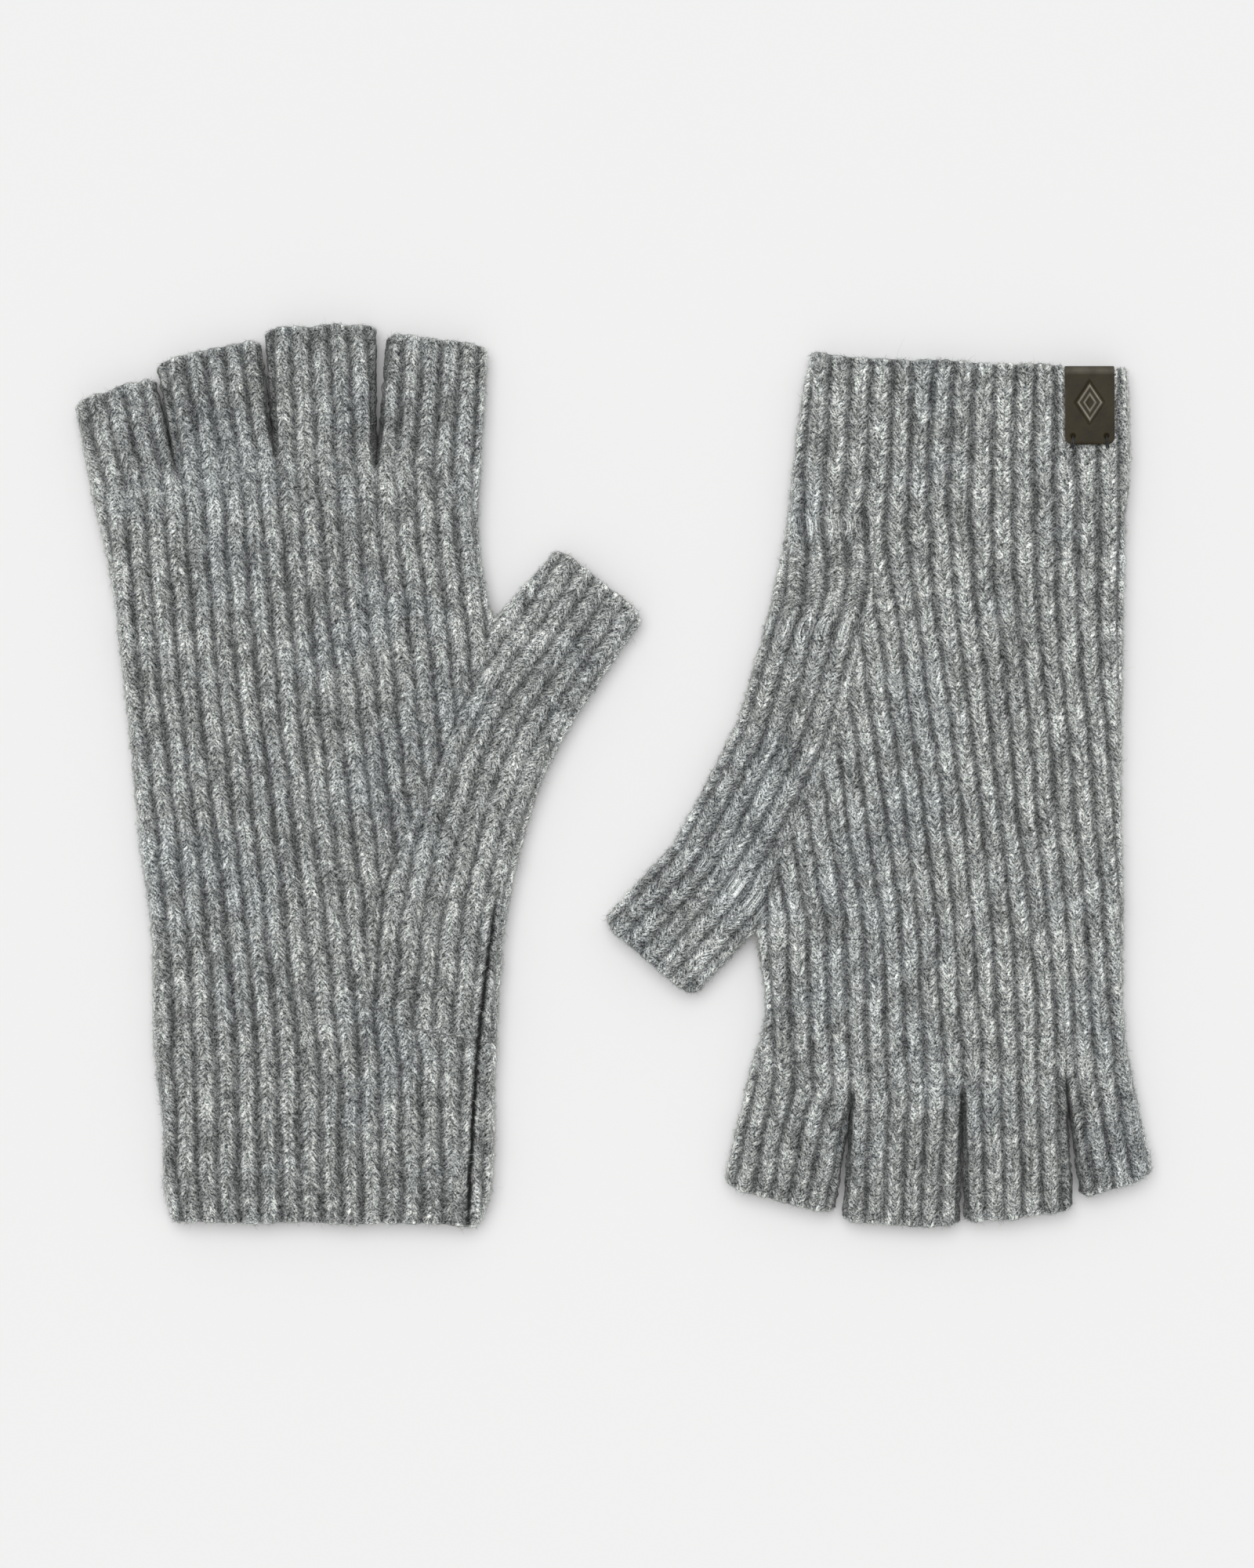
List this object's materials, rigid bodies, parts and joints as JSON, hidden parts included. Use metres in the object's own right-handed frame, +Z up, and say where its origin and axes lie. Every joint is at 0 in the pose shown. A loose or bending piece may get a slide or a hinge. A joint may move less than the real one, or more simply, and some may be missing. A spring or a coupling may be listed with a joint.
{
  "type": "fingerless gloves",
  "caption": "Pair of fingerless rib-knit wool gloves lying flat, one palm up and one back up, with thumb gussets and a folded leather tab on one cuff.",
  "frame": {"origin": "centre of the pair's outer box, on the table the gloves lie on", "axes": "+X from the right-hand glove (palm up) to the left-hand glove (back up), +Y the way the right-hand glove's fingers point, +Z up"},
  "size_m": [0.2908, 0.2428, 0.0106],
  "materials": {
    "knit": "matte",
    "seam_yarn": "matte",
    "leather": "satin",
    "thread": "satin"
  },
  "bodies": {
    "right_hand": {"right_hand": "knit", "right_thumb_gusset": "knit", "right_hand_seam": "seam_yarn"},
    "right_cuff": {"right_cuff": "knit", "right_cuff_seam": "seam_yarn"},
    "right_thumb": {"right_thumb": "knit"},
    "right_index_finger": {"right_index_finger": "knit"},
    "right_middle_finger": {"right_middle_finger": "knit"},
    "right_ring_finger": {"right_ring_finger": "knit"},
    "right_little_finger": {"right_little_finger": "knit"},
    "left_hand": {"left_hand": "knit", "left_thumb_gusset": "knit", "left_hand_seam": "seam_yarn"},
    "left_cuff": {"left_cuff": "knit", "left_cuff_seam": "seam_yarn", "label_tab": "leather", "label_stitches": "thread"},
    "left_thumb": {"left_thumb": "knit"},
    "left_index_finger": {"left_index_finger": "knit"},
    "left_middle_finger": {"left_middle_finger": "knit"},
    "left_ring_finger": {"left_ring_finger": "knit"},
    "left_little_finger": {"left_little_finger": "knit"}
  },
  "joints": [
    {"name": "right_wrist", "type": "hinge", "parent": "right_hand", "child": "right_cuff", "pos_m": [-0.0761, -0.0644, 0.0046], "axis": [-1, 0, 0], "range_deg": [-60, 70]},
    {"name": "right_thumb_bend", "type": "hinge", "parent": "right_hand", "child": "right_thumb", "pos_m": [-0.01632, 0.03459, 0.0046], "axis": [0.7934, -0.6088, 0], "range_deg": [-20, 60]},
    {"name": "right_index_bend", "type": "hinge", "parent": "right_hand", "child": "right_index_finger", "pos_m": [-0.0492, 0.08529, 0.0046], "axis": [0.9981, -0.061, 0], "range_deg": [-25, 80]},
    {"name": "right_middle_bend", "type": "hinge", "parent": "right_hand", "child": "right_middle_finger", "pos_m": [-0.07801, 0.0894, 0.0046], "axis": [0.999, 0.0436, 0], "range_deg": [-25, 80]},
    {"name": "right_ring_bend", "type": "hinge", "parent": "right_hand", "child": "right_ring_finger", "pos_m": [-0.10522, 0.08865, 0.0046], "axis": [0.989, 0.1478, 0], "range_deg": [-25, 80]},
    {"name": "right_little_bend", "type": "hinge", "parent": "right_hand", "child": "right_little_finger", "pos_m": [-0.1305, 0.08327, 0.0046], "axis": [0.9744, 0.225, 0], "range_deg": [-25, 80]},
    {"name": "left_glove_lift", "type": "slide", "parent": "right_hand", "child": "left_hand", "axis": [0, 0, 1], "range_m": [0, 0.12]},
    {"name": "left_wrist", "type": "hinge", "parent": "left_hand", "child": "left_cuff", "pos_m": [0.0947, 0.0549, 0.0046], "axis": [-1, 0, 0], "range_deg": [-60, 70]},
    {"name": "left_thumb_bend", "type": "hinge", "parent": "left_hand", "child": "left_thumb", "pos_m": [0.02255, -0.03415, 0.0046], "axis": [0.766, -0.6428, 0], "range_deg": [-20, 60]},
    {"name": "left_index_bend", "type": "hinge", "parent": "left_hand", "child": "left_index_finger", "pos_m": [0.04856, -0.08681, 0.0046], "axis": [0.9816, -0.1908, 0], "range_deg": [-25, 80]},
    {"name": "left_middle_bend", "type": "hinge", "parent": "left_hand", "child": "left_middle_finger", "pos_m": [0.07783, -0.0897, 0.0046], "axis": [0.9994, -0.0349, 0], "range_deg": [-25, 80]},
    {"name": "left_ring_bend", "type": "hinge", "parent": "left_hand", "child": "left_ring_finger", "pos_m": [0.10717, -0.0866, 0.0046], "axis": [0.9994, 0.0349, 0], "range_deg": [-25, 80]},
    {"name": "left_little_bend", "type": "hinge", "parent": "left_hand", "child": "left_little_finger", "pos_m": [0.13071, -0.08253, 0.0046], "axis": [0.9863, 0.165, 0], "range_deg": [-25, 80]}
  ]
}
